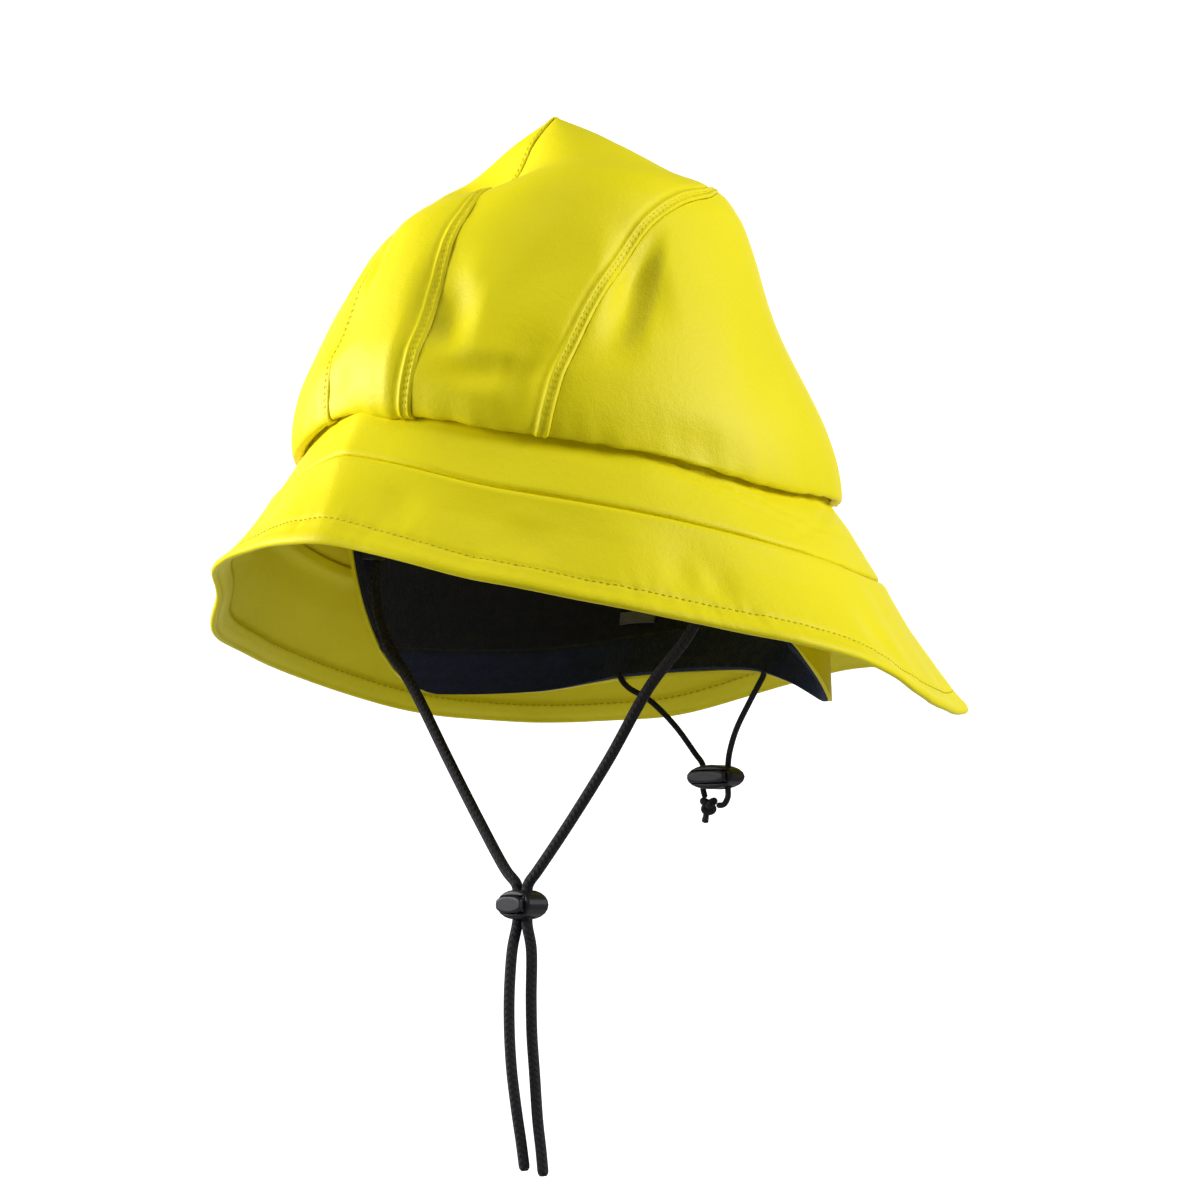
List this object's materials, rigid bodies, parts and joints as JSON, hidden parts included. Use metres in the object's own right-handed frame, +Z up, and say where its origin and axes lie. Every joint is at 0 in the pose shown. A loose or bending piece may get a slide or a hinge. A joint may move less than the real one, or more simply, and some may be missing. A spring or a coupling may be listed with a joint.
{
  "type": "sou'wester hat",
  "caption": "Rain hat with a boxy seamed crown, a stitched sloping brim longer behind, a fleece-lined neck curtain, a chin cord with a lock and a nape elastic.",
  "frame": {"origin": "the middle of the head hollow, a little above the edge of the crown, where the wearer's head holds the hat", "axes": "+Z up the wearer's head, -Y towards the front of the hat, +X towards the wearer's left"},
  "size_m": [0.285, 0.3281, 0.3975],
  "materials": {
    "rain_cloth": "matt coated rain cloth",
    "fleece": "soft brushed fleece",
    "label": "plain woven tape",
    "tape": "plain woven tape",
    "cord": "tight round braid",
    "lock_plastic": "moulded, slightly glossy"
  },
  "bodies": {
    "hat": {"crown_front_left": "rain_cloth", "crown_front_right": "rain_cloth", "crown_back_left": "rain_cloth", "crown_back_right": "rain_cloth", "brim_band": "rain_cloth", "brim_skirt": "rain_cloth", "neck_flap_shell": "rain_cloth", "neck_flap_lining": "fleece", "label_tab": "label", "chin_tab_left": "tape", "chin_tab_right": "tape", "chin_cord_left": "cord", "chin_cord_right": "cord", "neck_elastic_left": "cord", "neck_elastic_right": "cord", "neck_elastic_knot": "cord", "chin_lock_body": "lock_plastic", "neck_lock_body": "lock_plastic"},
    "chin_button": {"chin_lock_button": "lock_plastic"},
    "neck_button": {"neck_lock_button": "lock_plastic"}
  },
  "joints": [
    {"name": "chin_lock_press", "type": "slide", "parent": "hat", "child": "chin_button", "axis": [0, 1, 0], "range_m": [0, 0.002], "stiffness_N_per_m": 400},
    {"name": "neck_lock_press", "type": "slide", "parent": "hat", "child": "neck_button", "axis": [0, 1, 0], "range_m": [0, 0.0016], "stiffness_N_per_m": 300}
  ]
}
